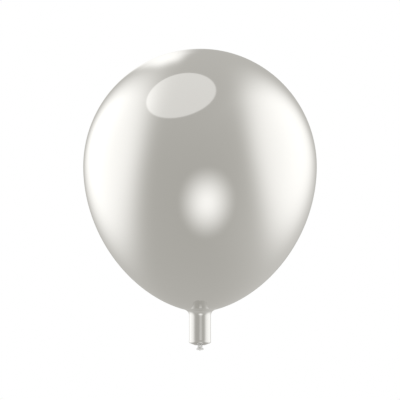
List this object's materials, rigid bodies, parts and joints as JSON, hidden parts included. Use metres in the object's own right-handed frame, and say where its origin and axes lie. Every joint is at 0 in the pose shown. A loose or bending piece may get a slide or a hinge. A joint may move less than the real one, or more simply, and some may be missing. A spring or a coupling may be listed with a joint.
{
  "type": "latex balloon",
  "caption": "Round silver latex balloon, blown up and untied, with a straight neck that a flap valve and a pull-out stopper close from below.",
  "frame": {"origin": "on the balloon's axis at the middle of the neck's straight length", "axes": "+Z along the axis from the neck's mouth to the crown; +Y towards the side of the neck that holds the flap's pin; +X along that pin"},
  "size_m": [0.2799, 0.28, 0.362],
  "materials": {
    "latex_skin": "stretched silver latex with a mirror-like sheen",
    "valve_plastic": "moulded, satin, natural white",
    "cap_plastic": "moulded, silver to match the skin",
    "gasket_rubber": "matte silicone",
    "flap_plastic": "moulded, satin",
    "pin_wire": "drawn wire, cropped ends",
    "stopper_plastic": "moulded, satin, light grey"
  },
  "bodies": {
    "balloon": {"envelope": "latex_skin", "valve_body": "valve_plastic", "end_cap": "cap_plastic", "seat_gasket": "gasket_rubber", "flap_pin": "pin_wire"},
    "flap": {"flap": "flap_plastic"},
    "stopper": {"stopper": "stopper_plastic"}
  },
  "joints": [
    {"name": "stopper_pull", "type": "slide", "parent": "balloon", "child": "stopper", "axis": [0, 0, -1], "range_m": [0, 0.018]},
    {"name": "flap_swing", "type": "hinge", "parent": "balloon", "child": "flap", "pos_m": [0, 0.0088, 0.0086], "axis": [-1, 0, 0], "range_deg": [0, 70]}
  ]
}
